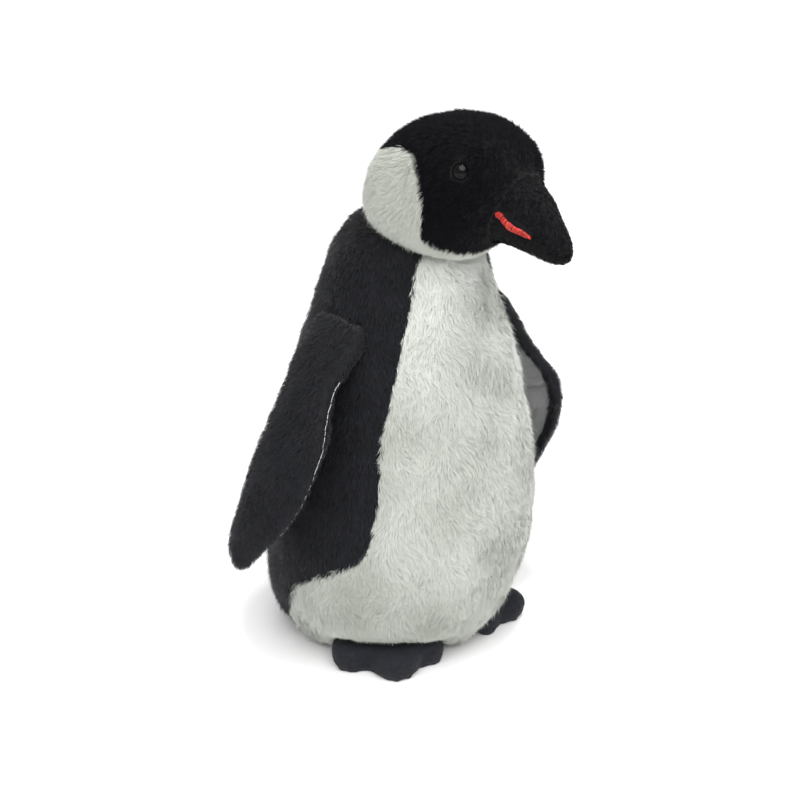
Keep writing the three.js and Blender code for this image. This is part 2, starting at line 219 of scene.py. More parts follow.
class Panels:
    """Tells which CAD node is nearest to each point."""

    def __init__(self, nodes):
        points, faces, self.owner, self.names = [], [], [], list(nodes)
        for i, node in enumerate(self.names):
            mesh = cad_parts[node].data
            base = len(points)
            points += [v.co.copy() for v in mesh.vertices]
            faces += [[base + v for v in p.vertices] for p in mesh.polygons]
            self.owner += [i] * len(mesh.polygons)
        self.tree = BVHTree.FromPolygons(points, faces)

    def nearest(self, points):
        return np.array([self.owner[self.tree.find_nearest(p)[2]] for p in points.tolist()])


def seam_points(mesh, panel_of_vertex):
    """True for each vertex on an edge between two panels."""
    edges = edges_of(mesh)
    split = panel_of_vertex[edges[:, 0]] != panel_of_vertex[edges[:, 1]]
    on_seam = np.zeros(len(mesh.vertices), bool)
    on_seam[edges[split].ravel()] = True
    return on_seam


def spread(mesh, mask, rounds):
    """A soft weight that is 1 on the mask and falls off over the given rings of vertices."""
    edges = edges_of(mesh)
    weight = mask.astype(float)
    for _ in range(rounds):
        grown = weight.copy()
        np.maximum.at(grown, edges[:, 0], weight[edges[:, 1]] - 1 / (rounds + 1))
        np.maximum.at(grown, edges[:, 1], weight[edges[:, 0]] - 1 / (rounds + 1))
        weight = grown
    return weight


def puff(obj, pinned, pressure, cap):
    """Swells a form as stuffed cloth held at its seams, and applies the result."""
    start = vertices_of(obj.data)
    group = obj.vertex_groups.new(name="seams")
    for i in np.flatnonzero(pinned > 0).tolist():
        group.add([i], float(pinned[i]), "REPLACE")
    cloth = obj.modifiers.new("stuffed", "CLOTH")
    settings = cloth.settings
    settings.use_pressure = True
    settings.uniform_pressure_force = pressure
    settings.effector_weights.gravity = 0
    settings.vertex_group_mass = group.name
    settings.quality = CLOTH_QUALITY
    settings.tension_stiffness = CLOTH_STIFFNESS
    settings.compression_stiffness = CLOTH_STIFFNESS
    settings.bending_stiffness = CLOTH_BENDING
    scene = bpy.context.scene
    cloth.point_cache.frame_start = 1
    cloth.point_cache.frame_end = CLOTH_FRAMES
    for number in range(1, CLOTH_FRAMES + 1):
        scene.frame_set(number)
    graph = bpy.context.evaluated_depsgraph_get()
    swollen = vertices_of(obj.evaluated_get(graph).to_mesh())
    obj.modifiers.clear()
    obj.vertex_groups.clear()
    scene.frame_set(1)
    move = swollen - start
    length = np.linalg.norm(move, axis=1, keepdims=True)
    set_vertices(obj.data, start + move * np.minimum(1, cap / np.maximum(length, 1e-9)))


def displace(mesh, amount):
    set_vertices(mesh, vertices_of(mesh) + normals_of(mesh) * np.asarray(amount)[:, None])


def subdivided(obj):
    subsurf = obj.modifiers.new("finer", "SUBSURF")
    subsurf.levels = 1
    subsurf.render_levels = 1
    return baked(obj)


# ---------- surfaces for scattering ----------
class Surface:
    """A mesh's triangles, points and vertex normals, kept after the mesh itself has changed."""

    def __init__(self, mesh):
        mesh.calc_loop_triangles()
        flat = np.empty(len(mesh.loop_triangles) * 3, np.int64)
        mesh.loop_triangles.foreach_get("vertices", flat)
        self.triangles = flat.reshape(-1, 3)
        self.points = vertices_of(mesh)
        self.normals = normals_of(mesh)

    def scatter(self, density, rng):
        """Random points and normals, so many to a square millimetre."""
        a, b, c = (self.points[self.triangles[:, i]] for i in range(3))
        areas = np.linalg.norm(np.cross(b - a, c - a), axis=1) / 2
        count = int(areas.sum() / MM**2 * density)
        chosen = rng.choice(len(areas), count, p=areas / areas.sum())
        r1, r2 = np.sqrt(rng.random(count)), rng.random(count)
        weights = np.stack([1 - r1, r1 * (1 - r2), r1 * r2], 1)[:, :, None]
        corners = self.triangles[chosen]
        return (self.points[corners] * weights).sum(1), unit((self.normals[corners] * weights).sum(1))


# ---------- pile ----------
MOST_STRANDS = 60000  # in one piece
FLOOR_GAP = 0.3 * MM
ROOT_DEPTH = 0.4 * MM  # a strand starts this far under the skin
STRAND_TURN = 0.18  # random turn of one strand, in radians
LIFT_SPREAD = 0.12  # random change of its lift, in radians
LEAST_LIFT = 0.15
MOST_LIFT = 1.4
STRAY_LIFT = 0.4  # a stray strand stands up this much more
STRAY_LENGTH = 0.2  # and is this share longer
ROOT_BEND = 0.25  # the lower half is this much steeper than the lift
TIP_BEND = 0.35  # and the upper half this much flatter
MOST_SPIN = 0.7  # a ribbon turns about its length by up to this, in radians
LOCK_TONE = 0.35  # share of a strand's random tone that its whole lock has in common
MOTTLE_SCALE = 55 * MM  # size of the paler and greyer patches
MOTTLE_DEPTH = 0.2
# painted shade: the height about which the pile is coloured darker below and paler above
PAINTED_SHADE_MIDDLE = 130 * MM
PAINTED_SHADE_RISE = 3.2  # painted shade: the pile is coloured this much paler for each metre up, so it is darker towards the bottom
PATCH_SEED = 5


def combed(normals, direction):
    """The direction laid flat on the surface."""
    along = np.broadcast_to(direction, normals.shape)
    flat = along - normals * (along * normals).sum(1, keepdims=True)
    return unit(flat)


def turned(flat, normals, angle):
    side = np.cross(normals, flat)
    return flat * np.cos(angle)[:, None] + side * np.sin(angle)[:, None]


def tilted(flat, normals, angle):
    return normals * np.sin(angle)[:, None] + flat * np.cos(angle)[:, None]


def gathered(tips, roots, cell, share):
    """Draws the tips of neighbouring strands together into small locks."""
    warped = roots / cell + 0.35 * np.stack([waves(roots, cell * 5, seed) for seed in (1, 2, 3)], 1)
    _, lock = np.unique(np.floor(warped).astype(np.int64), axis=0, return_inverse=True)
    lock = lock.ravel()
    counts = np.bincount(lock)[:, None]
    middle = np.stack([np.bincount(lock, tips[:, i]) for i in range(3)], 1) / counts
    return tips + (middle[lock] - tips) * share, lock


def strand_mesh(name, path, sides, widths, shading, shade):
    """Tapered ribbons of three points each, as one mesh."""
    count = len(path[0])
    half = sides * (widths / 2)[:, None]
    rows = [path[0] - half, path[0] + half, path[1] - half * 0.8, path[1] + half * 0.8, path[2]]
    points = np.stack(rows, 1).reshape(-1, 3)
    base = np.arange(count)[:, None] * 5
    loops = (base + np.array([0, 1, 3, 2, 2, 3, 4])).ravel()
    starts = (np.arange(count)[:, None] * 7 + np.array([0, 4])).ravel()
    mesh = bpy.data.meshes.new(name)
    mesh.vertices.add(len(points))
    mesh.vertices.foreach_set("co", points.ravel())
    mesh.loops.add(len(loops))
    mesh.loops.foreach_set("vertex_index", loops)
    mesh.polygons.add(len(starts))
    mesh.polygons.foreach_set("loop_start", starts)
    mesh.polygons.foreach_set("material_index", np.repeat(shade, 2))
    mesh.polygons.foreach_set("use_smooth", np.ones(len(starts), bool))
    mesh.update(calc_edges=True)
    mesh.normals_split_custom_set_from_vertices(np.repeat(shading, 5, axis=0))
    return mesh


class Pile:
    """How one fabric's pile stands.

    The density is in strands to a square millimetre, lengths and widths are in metres, and the lift and
    swirl in degrees. lock is the size of the tufts and gather how tightly they draw together. softness 1
    shades a strand like the skin below it, mottle 1 colours it by place alone, in random pale and grey
    areas and in painted shade that makes it darker towards the bottom, and stray is the share of strands
    that stand out.
    """

    def __init__(self, density, length, width, lift, looks, lock=4.5 * MM, gather=0.4, swirl=20,
                 swirl_scale=45 * MM, softness=0.6, trim=None, mottle=0.0, stray=0.1):
        self.density, self.length, self.width, self.lift, self.looks = density, length, width, lift, looks
        self.lock, self.gather, self.swirl, self.swirl_scale = lock, gather, swirl, swirl_scale
        self.softness, self.trim, self.mottle, self.stray = softness, trim, mottle, stray

    def grow(self, name, surface, direction, seed, clearings=()):
        """Pieces of pile over the surface, combed along direction(roots, normals)."""
        rng = np.random.default_rng(seed)
        roots, normals = surface.scatter(self.density, rng)
        for tree, margin in clearings:
            kept = np.array([tree.find_nearest(p, margin)[2] is None for p in roots.tolist()])
            roots, normals = roots[kept], normals[kept]
        count = len(roots)
        angle = waves(roots, self.swirl_scale, seed) * math.radians(self.swirl)
        angle += waves(roots, self.swirl_scale / 3.5, seed + 1) * math.radians(self.swirl * 0.6)
        angle += rng.normal(0, STRAND_TURN, count)
        flat = turned(combed(normals, direction(roots, normals)), normals, angle)
        lift = np.radians(self.lift) * (1 + 0.3 * waves(roots, self.swirl_scale / 2, seed + 2))
        stray = rng.random(count) < self.stray
        lift = np.clip(lift + rng.normal(0, LIFT_SPREAD, count) + stray * STRAY_LIFT, LEAST_LIFT, MOST_LIFT)
        length = self.length * (rng.uniform(0.7, 1.1, count) + stray * STRAY_LENGTH)
        if self.trim:
            length *= self.trim(roots)
        half = (length * 0.5)[:, None]
        bottom = roots - normals * ROOT_DEPTH
        middle = bottom + tilted(flat, normals, lift + ROOT_BEND) * half
        tip = middle + tilted(flat, normals, np.maximum(lift - TIP_BEND, 0.05)) * half
        tip, lock = gathered(tip, roots, self.lock, self.gather)
        middle[:, 2] = np.maximum(middle[:, 2], FLOOR_GAP)
        tip[:, 2] = np.maximum(tip[:, 2], FLOOR_GAP)
        spin = rng.uniform(-MOST_SPIN, MOST_SPIN, count)
        across = np.cross(normals, flat)
        sides = turned(across, unit(tip - bottom), spin)
        facing = unit(np.cross(sides, tip - bottom))
        outward = np.where((facing * normals).sum(1, keepdims=True) < 0, -1, 1)
        sides, facing = sides * outward, facing * outward
        shading = unit(normals * self.softness + facing * (1 - self.softness))
        widths = self.width * rng.uniform(0.7, 1.2, count)
        tone = rng.random(lock.max() + 1)[lock] * LOCK_TONE + rng.random(count) * (1 - LOCK_TONE)
        patches_and_painted_shade = 0.5 + MOTTLE_DEPTH * waves(roots, MOTTLE_SCALE, PATCH_SEED)
        # painted shade: the pile is coloured paler going up and darker going down, standing in for light
        # from above
        patches_and_painted_shade += (roots[:, 2] - PAINTED_SHADE_MIDDLE) * PAINTED_SHADE_RISE
        tone = tone * (1 - self.mottle) + patches_and_painted_shade * self.mottle
        shade = np.clip((tone * len(self.looks)).astype(int), 0, len(self.looks) - 1)
        made = []
        for part, first in enumerate(range(0, count, MOST_STRANDS)):
            cut = slice(first, first + MOST_STRANDS)
            path = [bottom[cut], middle[cut], tip[cut]]
            label = f"{name}_{part + 1}" if count > MOST_STRANDS else name
            mesh = strand_mesh(label, path, sides[cut], widths[cut], shading[cut], shade[cut])
            for look in self.looks:
                mesh.materials.append(look)
            made.append(add_object(label, mesh))
        return made


# ---------- materials ----------
def new_material(name):
    material = bpy.data.materials.new(name)
    material.use_nodes = True
    tree = material.node_tree
    return material, tree, tree.nodes["Principled BSDF"]


def node(tree, kind, **settings):
    made = tree.nodes.new(kind)
    for key, value in settings.items():
        if key in made.inputs:
            made.inputs[key].default_value = value
        else:
            setattr(made, key, value)
    return made


def linear(colour):
    """A colour given as it shows on screen, 0 to 255, in the linear values that a shader takes."""
    shares = [c / 255 for c in colour]
    return tuple(((c + 0.055) / 1.055) ** 2.4 if c > 0.0404 else c / 12.92 for c in shares) + (1,)


def pile_look(name, colour, roughness=0.7, sheen=0.3, specular=0.25):
    material, _, shader = new_material(name)
    shader.inputs["Base Color"].default_value = linear(colour)
    shader.inputs["Roughness"].default_value = roughness
    shader.inputs["Specular IOR Level"].default_value = specular
    shader.inputs["Sheen Weight"].default_value = sheen
    shader.inputs["Sheen Roughness"].default_value = 0.45
    return material


def pile_looks(name, dark, light, count=5, **look):
    shades = np.linspace(0, 1, count)
    mixed = [[d + (l - d) * s for d, l in zip(dark, light)] for s in shades]
    return [pile_look(f"{name}_{i + 1}", colour, **look) for i, colour in enumerate(mixed)]


def backing_look(name, dark, light, scale, bump=0.4, sheen=0.3, roughness=0.85):
    """Fabric under the pile: mottled colour and a fine fibrous bump."""
    material, tree, shader = new_material(name)
    place = node(tree, "ShaderNodeTexCoord")
    mottle = node(tree, "ShaderNodeTexNoise", Scale=scale, Detail=6, Roughness=0.6)
    fibre = node(tree, "ShaderNodeTexNoise", Scale=scale * 14, Detail=3, Roughness=0.7)
    blend = node(tree, "ShaderNodeMix", data_type="RGBA")
    blend.inputs[6].default_value = linear(dark)
    blend.inputs[7].default_value = linear(light)
    relief = node(tree, "ShaderNodeBump", Strength=bump, Distance=0.0006)
    for texture in (mottle, fibre):
        tree.links.new(place.outputs["Object"], texture.inputs["Vector"])
    tree.links.new(mottle.outputs["Fac"], blend.inputs[0])
    tree.links.new(blend.outputs[2], shader.inputs["Base Color"])
    tree.links.new(fibre.outputs["Fac"], relief.inputs["Height"])
    tree.links.new(relief.outputs["Normal"], shader.inputs["Normal"])
    shader.inputs["Roughness"].default_value = roughness
    shader.inputs["Sheen Weight"].default_value = sheen
    return material


def gloss_look(name, colour, roughness, coat=0.0, specular=0.5):
    material, _, shader = new_material(name)
    shader.inputs["Specular IOR Level"].default_value = specular
    shader.inputs["Base Color"].default_value = linear(colour)
    shader.inputs["Roughness"].default_value = roughness
    shader.inputs["Coat Weight"].default_value = coat
    shader.inputs["Coat Roughness"].default_value = 0.02
    return material


# darkest and palest strand of each fabric
BLACK = ((17, 18, 22), (34, 35, 42))
HEAD_BLACK_SHADES = ((7, 7, 11), (17, 17, 22))
# the white spans this far partly to hold the painted shade that darkens the belly pile low down
WHITE = ((184, 187, 178), (238, 241, 235))
CHEEK = ((193, 196, 187), (210, 213, 204))
LINING = ((178, 180, 178), (206, 208, 206))
NAVY = ((14, 15, 24), (24, 26, 38))
looks = {
    "black": pile_looks("black_pile", *BLACK, sheen=0.22, specular=0.2),
    "head": pile_looks("head_pile", *HEAD_BLACK_SHADES, sheen=0.03, specular=0.06),
    "white": pile_looks("white_pile", *WHITE, count=8, sheen=0.2),
    "cheek": pile_looks("cheek_pile", *CHEEK, sheen=0.2),
    "lining": pile_looks("lining_pile", *LINING, sheen=0.2),
    "navy": pile_looks("navy_pile", *NAVY, sheen=0.06, specular=0.06),
}
backing = {
    "black": backing_look("black_backing", (10, 10, 13), (20, 21, 25), 60, sheen=0.05),
    "head": backing_look("head_backing", (4, 4, 6), (10, 10, 13), 60, sheen=0.0, roughness=1.0),
    "white": backing_look("white_backing", (176, 179, 174), (214, 216, 212), 60),
    "cheek": backing_look("cheek_backing", (170, 170, 162), (205, 205, 198), 60),
    "lining": backing_look("lining_cloth", (168, 170, 170), (202, 203, 202), 90),
    "navy": backing_look("navy_cloth", (12, 13, 21), (21, 23, 34), 90, sheen=0.05),
}

thread_look = gloss_look("white_thread", (214, 216, 212), 0.6, specular=0.3)
RED_SHADES = ((190, 40, 32), (158, 28, 24), (206, 58, 44))
red_looks = [gloss_look(f"red_satin_{i + 1}", shade, 0.4) for i, shade in enumerate(RED_SHADES)]

# ---------- fur kinds ----------
FOOT_CLIP = 16 * MM  # the body's pile grows to its full length over this distance from the feet
FOOT_SHORTEST = 0.3  # from this share of it
BEAK_CLIP = 20 * MM  # and the face's over this distance from the beak
BEAK_SHORTEST = 0.42


def clipped_near(roots, nodes, reach, shortest):
    """A length factor that grows from the shortest at the nodes to 1 at the reach."""
    tree = Panels(nodes).tree
    away = np.array([tree.find_nearest(p)[3] for p in roots.tolist()])
    return np.clip(shortest + (1 - shortest) * away / reach, 0, 1)


def near_feet(roots):
    return clipped_near(roots, ["foot_top_left", "foot_top_right"], FOOT_CLIP, FOOT_SHORTEST)


def near_beak(roots):
    return clipped_near(roots, ["beak_upper", "beak_lower"], BEAK_CLIP, BEAK_SHORTEST)


BLACK_WIDTH = 0.36 * MM
WHITE_WIDTH = 0.26 * MM
LONG_BLACK = Pile(2.3, 6 * MM, BLACK_WIDTH, 34, looks["black"], lock=3.5 * MM, gather=0.3, trim=near_feet)
HEAD_BLACK = Pile(2.4, 4.8 * MM, BLACK_WIDTH, 38, looks["head"], lock=3 * MM, gather=0.3, trim=near_beak)
SHORT_BLACK = Pile(2.4, 4.2 * MM, BLACK_WIDTH, 36, looks["black"], lock=3 * MM, gather=0.3)
BEAK_BLACK = Pile(3.2, 2.1 * MM, 0.3 * MM, 38, looks["head"], lock=2 * MM, gather=0.3)
# its mottle also paints shade onto the belly pile: darker towards the bottom, paler towards the top
LONG_WHITE = Pile(3.6, 7 * MM, WHITE_WIDTH, 25, looks["white"], lock=3 * MM, gather=0.1, swirl=42,
                  swirl_scale=32 * MM, softness=0.82, trim=near_feet, mottle=0.72, stray=0.03)
CHEEK_WHITE = Pile(3.4, 6 * MM, WHITE_WIDTH, 32, looks["cheek"], lock=3 * MM, gather=0.1, softness=0.82,
                   stray=0.03)
LINING_PILE = Pile(2.6, 1.6 * MM, 0.3 * MM, 45, looks["lining"], lock=2.5 * MM)
NAVY_PILE = Pile(4.5, 1.0 * MM, 0.24 * MM, 55, looks["navy"], lock=1.5 * MM, gather=0.15)


def toward(x, y, z):
    """One combing direction for a whole panel."""
    return lambda roots, normals: np.array([x, y, z], float)


# ---------- covers: a fused form cut into its panels ----------
PILE_SEED = 11


def cut_cover(form, panels, plan, body, after=None, clearings=()):
    """Splits a form into one backing piece and its pile for each panel of the plan."""
    mesh = form.data
    centres = np.empty(len(mesh.polygons) * 3)
    mesh.polygons.foreach_get("center", centres)
    owner = panels.nearest(centres.reshape(-1, 3))
    made = []
    for number, name in enumerate(panels.names):
        if name not in plan:
            continue
        fabric, pile, direction = plan[name]
        work = bmesh.new()
        work.from_mesh(mesh)
        work.faces.ensure_lookup_table()
        others = [work.faces[i] for i in np.flatnonzero(owner != number).tolist()]
        bmesh.ops.delete(work, geom=others, context="FACES")
        part = bpy.data.meshes.new(f"{name}_cover")
        work.to_mesh(part)
        work.free()
        surface = Surface(part)
        cover = add_object(f"{name}_cover", part)
        thick = cover.modifiers.new("thick", "SOLIDIFY")
        thick.thickness = BACKING_THICKNESS
        thick.offset = -1
        baked(cover)
        smooth_shaded(cover.data)
        cover.data.materials.clear()
        cover.data.materials.append(backing[fabric])
        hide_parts(name)
        pieces = [cover]
        if pile:
            pieces += pile.grow(f"{name}_pile", surface, direction, PILE_SEED + number, clearings)
        for piece in pieces:
            if after:
                after(piece)
            else:
                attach(piece, body)
        made += pieces
    bpy.data.objects.remove(form)
    return made


# ---------- body ----------
SEAT = (46 * MM, 46 * MM, 26 * MM)  # the filling sags out here
SEAT_RADIUS = 27 * MM
SEAT_RISE = 5 * MM
BODY_HELD = (6 * MM, 250 * MM)  # the cloth only swells between these heights
BODY_LUMPS = ((70 * MM, 3, 1.1 * MM), (28 * MM, 4, 0.5 * MM))  # scale, seed and height
BODY_SEAM_DEPTH = 1.2 * MM
STANDING = (4 * MM, 20 * MM)  # the base keeps its flat shape below the first and is free above the second


def body_cover():
    nodes = ["belly_panel", "back_panel_left", "back_panel_right", "base_panel"]
    form = fused("body_form", nodes + ["body_stuffing", "pellet_bag"], BODY_VOXEL, 12)
    panels = Panels(nodes)
    mesh = form.data
    restored(mesh, panels)
    points = vertices_of(mesh)
    seams = seam_points(mesh, panels.nearest(points))
    outside = (points[:, 2] < BODY_HELD[0]) | (points[:, 2] > BODY_HELD[1])
    puff(form, np.maximum(spread(mesh, seams, 1), outside), 4.0, 3 * MM)
    rise = sum(waves(points, scale, seed) * height for scale, seed, height in BODY_LUMPS)
    rise += bulge(points, SEAT, SEAT_RADIUS) * SEAT_RISE - spread(mesh, seams, 2) * BODY_SEAM_DEPTH
    free = np.clip((points[:, 2] - STANDING[0]) / (STANDING[1] - STANDING[0]), 0, 1)
    displace(mesh, rise * free)
    subdivided(form)
    down = toward(0, 0, -1)
    plan = {
        "belly_panel": ("white", LONG_WHITE, down),
        "back_panel_left": ("black", LONG_BLACK, down),
        "back_panel_right": ("black", LONG_BLACK, down),
        "base_panel": ("white", None, None),
    }
    made = cut_cover(form, panels, plan, "torso")
    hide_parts("body_stuffing", "pellet_bag")


# ---------- head ----------
BULGE_RADIUS = 16 * MM
HEAD_BULGES = (
    ((22 * MM, -73 * MM, 313 * MM), 2.2 * MM),  # brow
    ((28 * MM, -2 * MM, 270 * MM), 2.5 * MM),  # back of the cheek
    ((4 * MM, -117 * MM, 289 * MM), -1.6 * MM),  # ridge of the beak
    ((9 * MM, -97 * MM, 299 * MM), 3 * MM),  # root of the beak
)
HEAD_LUMP_SCALE = 40 * MM
HEAD_LUMPS = 0.6 * MM
EYE_CLEARING = 0.8 * MM
BEAK_FILLET_RINGS = 6
BEAK_FILLET_ROUNDS = 40
CROWN_FLOW = np.array([0, 1, -0.15])
SIDE_FLOW = np.array([0, 0.45, -0.9])
CROWN_HALF = 34 * MM


def head_flow(roots, normals):
    """Back over the crown, turning down the sides."""
    t = np.clip(np.abs(roots[:, :1]) / CROWN_HALF, 0, 1)
    return CROWN_FLOW * (1 - t) + SIDE_FLOW * t


def node_tree_of(name):
    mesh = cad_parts[name].data
    return BVHTree.FromPolygons([v.co for v in mesh.vertices], [p.vertices for p in mesh.polygons])


def head_cover():
    faces = [f"{kind}_{side}" for kind in ("face_panel", "cheek_patch") for side in SIDES]
    nodes = ["beak_upper", "beak_lower", "crown_panel", *faces]
    form = fused("head_form", nodes + ["head_stuffing", "beak_stuffing"], HEAD_VOXEL, 10)
    panels = Panels(nodes)
    mesh = form.data
    restored(mesh, panels)
    owner = panels.nearest(vertices_of(mesh))
    on_beak = owner < 2
    filleted(mesh, spread(mesh, seam_points(mesh, on_beak), BEAK_FILLET_RINGS), BEAK_FILLET_ROUNDS)
    seams = seam_points(mesh, owner)
    puff(form, spread(mesh, seams, 1), 3.0, 2 * MM)
    points = vertices_of(mesh)
    rise = sum(bulge(points, place, BULGE_RADIUS) * height for place, height in HEAD_BULGES)
    displace(mesh, rise + waves(points, HEAD_LUMP_SCALE, 8) * HEAD_LUMPS)
    subdivided(form)
    clearings = [(node_tree_of(f"mouth_stitch_{side}"), MOUTH_CLEARING) for side in SIDES]
    clearings += [(node_tree_of(f"eye_{side}"), EYE_CLEARING) for side in SIDES]
    plan = {
        "crown_panel": ("head", HEAD_BLACK, head_flow),
        "beak_upper": ("head", BEAK_BLACK, toward(0, -1, -0.5)),
        "beak_lower": ("head", BEAK_BLACK, toward(0, -1, -0.2)),
    }
    for side in SIDES:
        plan[f"face_panel_{side}"] = ("head", HEAD_BLACK, head_flow)
        plan[f"cheek_patch_{side}"] = ("cheek", CHEEK_WHITE, toward(0, 0.6, -0.8))
    cut_cover(form, panels, plan, "torso", clearings=clearings)
    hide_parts("head_stuffing")
    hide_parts("beak_stuffing")


# ---------- wings and feet ----------
WING_LUMPS = 0.6 * MM
WING_SEAM_DEPTH = 0.6 * MM
SHOULDER_SPAN = (182 * MM, 219 * MM)  # over these heights the wing sinks into the body
SHOULDER_SINK = 7 * MM
LINING_SINK = 4 * MM  # and its lining this much deeper
LINING_CREASE = 132 * MM  # height of the fold across the lining
LINING_CREASE_DEPTH = 1.4 * MM
EDGE_THREAD_SPAN = (190 * MM, 98 * MM)
EDGE_THREAD_FADE = 145 * MM  # the thread is finer and broken below this height


def wing(side):
    outward = 1 if side == "left" else -1
    nodes = [f"wing_outer_{side}", f"wing_lining_{side}"]
    padding = f"wing_padding_{side}"
    form = fused(f"wing_form_{side}", nodes + [padding], LIMB_VOXEL, 5)
    panels = Panels(nodes)
    mesh = form.data
    restored(mesh, panels)
    points = vertices_of(mesh)
    seams = seam_points(mesh, panels.nearest(points))
    puff(form, spread(mesh, seams, 1), 3.0, 2 * MM)
    crease = np.exp(-(((points[:, 2] - LINING_CREASE + points[:, 1] * 0.3) / (2 * MM)) ** 2))
    crease *= (panels.nearest(points) == 1) * LINING_CREASE_DEPTH
    lumps = waves(points, 35 * MM, 12) * WING_LUMPS
    displace(mesh, lumps - spread(mesh, seams, 2) * WING_SEAM_DEPTH - crease)
    points = vertices_of(mesh)
    start, end = SHOULDER_SPAN
    sunk = np.clip((points[:, 2] - start) / (end - start), 0, 1) ** 1.5
    lining = spread(mesh, (panels.nearest(points) == 1).astype(float), 2)
    points[:, 0] -= outward * sunk * (SHOULDER_SINK + LINING_SINK * lining)
    set_vertices(mesh, points)
    subdivided(form)
    stitches = edge_stitches(vertices_of(form.data), normals_of(form.data), *EDGE_THREAD_SPAN)
    bright = [path for path in stitches if path[0, 2] > EDGE_THREAD_FADE]
    faint = [path for path in stitches if path[0, 2] <= EDGE_THREAD_FADE][::2]

    def hang(piece):
        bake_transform(piece)

    sweep = toward(outward * 0.1, 0.08, -1)
    plan = {
        f"wing_outer_{side}": ("black", SHORT_BLACK, sweep),
        f"wing_lining_{side}": ("lining", LINING_PILE, sweep),
    }
    made = cut_cover(form, panels, plan, f"wing_{side}", hang)
    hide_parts(padding)
    if side == "right":
        for name, paths, share in (("bright", bright, 1), ("faint", faint, 0.5)):
            radius = EDGE_THREAD_RADIUS * share
            thread = thread_mesh(f"wing_edge_thread_{name}", paths, radius, [thread_look])
            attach(thread, "wing_right")


FOOT_FULLNESS = 1.3 * MM
FOOT_LUMPS = 0.4 * MM
FOOT_SEAM_DEPTH = 0.8 * MM
FOOT_FLAT = 2 * MM  # the sole keeps its shape below this height


def foot(side):
    nodes = [f"foot_top_{side}", f"foot_sole_{side}"]
    padding = f"foot_padding_{side}"
    form = fused(f"foot_form_{side}", nodes + [padding], LIMB_VOXEL, 3)
    panels = Panels(nodes)
    mesh = form.data
    restored(mesh, panels)
    points = vertices_of(mesh)
    seams = seam_points(mesh, panels.nearest(points))
    low = (points[:, 2] < FOOT_FLAT).astype(float)
    puff(form, np.maximum(spread(mesh, seams, 1), low), 3.0, 1.5 * MM)
    fullness = FOOT_FULLNESS + waves(points, 25 * MM, 15) * FOOT_LUMPS
    displace(mesh, (fullness - spread(mesh, seams, 1) * FOOT_SEAM_DEPTH) * (1 - low))
    subdivided(form)
    outward = 1 if side == "left" else -1
    plan = {
        f"foot_top_{side}": ("navy", NAVY_PILE, toward(outward, -1, -0.1)),
        f"foot_sole_{side}": ("navy", None, None),
    }
    made = cut_cover(form, panels, plan, f"foot_{side}")
    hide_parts(padding)


# ---------- eyes ----------
EYE_RADIUS = 4.9 * MM
EYE_HEIGHT = 3.9 * MM
EYE_BELOW_APEX = 3.6 * MM  # from the top of the CAD's eye down to the widest level of the dome
EYE_SKIRT = 2 * MM  # the eye goes on this far below that level
DOME_STEPS = 12


def lathe(name, profile, origin, axis, segments=48):
    """A turned form about the axis from (radius, height) points."""
    axis = axis.normalized()
    side = axis.orthogonal().normalized()
    work = bmesh.new()
    line = [work.verts.new(origin + side * r + axis * h) for r, h in profile]
    edges = [work.edges.new(pair) for pair in zip(line, line[1:])]
    turn = {"angle": 2 * math.pi, "steps": segments, "use_merge": True}
    bmesh.ops.spin(work, geom=line + edges, cent=origin, axis=axis, **turn)
    bmesh.ops.remove_doubles(work, verts=work.verts[:], dist=1e-6)
    bmesh.ops.recalc_face_normals(work, faces=work.faces[:])
    mesh = bpy.data.meshes.new(name)
    work.to_mesh(mesh)
    work.free()
    smooth_shaded(mesh)
    return add_object(name, mesh)


def eye(side, look):
    low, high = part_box(f"eye_washer_{side}")
    inside = (Vector(low) + Vector(high)) / 2
    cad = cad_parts[f"eye_{side}"].data
    apex = max((v.co for v in cad.vertices), key=lambda p: (p - inside).length)
    axis = (apex - inside).normalized()
    angles = [math.pi / 2 * i / DOME_STEPS for i in range(DOME_STEPS)]
    dome = [(EYE_RADIUS * math.cos(t), EYE_HEIGHT * math.sin(t)) for t in angles]
    skirt = [(0, -EYE_SKIRT), (EYE_RADIUS * 0.9, -EYE_SKIRT), (EYE_RADIUS, -EYE_SKIRT / 2)]
    profile = [*skirt, *dome, (0, EYE_HEIGHT)]
    obj = lathe(f"eye_dome_{side}", profile, apex - axis * EYE_BELOW_APEX, axis)
    obj.data.materials.append(look)
    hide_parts(f"eye_{side}")
    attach(obj, "torso")


# ---------- stitching ----------
def thread_mesh(name, paths, radius, looks):
    """Round threads along lists of points, as one mesh object, each in one of the looks."""
    rng = np.random.default_rng(len(paths))
    curve = bpy.data.curves.new(name, "CURVE")
    for look in looks:
        curve.materials.append(look)
    curve.dimensions = "3D"
    curve.bevel_depth = radius
    curve.bevel_resolution = 1
    curve.use_fill_caps = True
    for path in paths:
        spline = curve.splines.new("POLY")
        spline.points.add(len(path) - 1)
        spline.points.foreach_set("co", np.column_stack([path, np.ones(len(path))]).ravel())
        spline.use_smooth = True
        spline.material_index = int(rng.integers(len(looks)))
    obj = add_object(name, curve)
    mesh = bpy.data.meshes.new_from_object(obj)
    bpy.data.objects.remove(obj)
    return add_object(name, mesh)


MOUTH_THREADS = 40
MOUTH_THREAD_RADIUS = 0.34 * MM
MOUTH_RISE = 1.1 * MM
MOUTH_CLEARING = 1 * MM
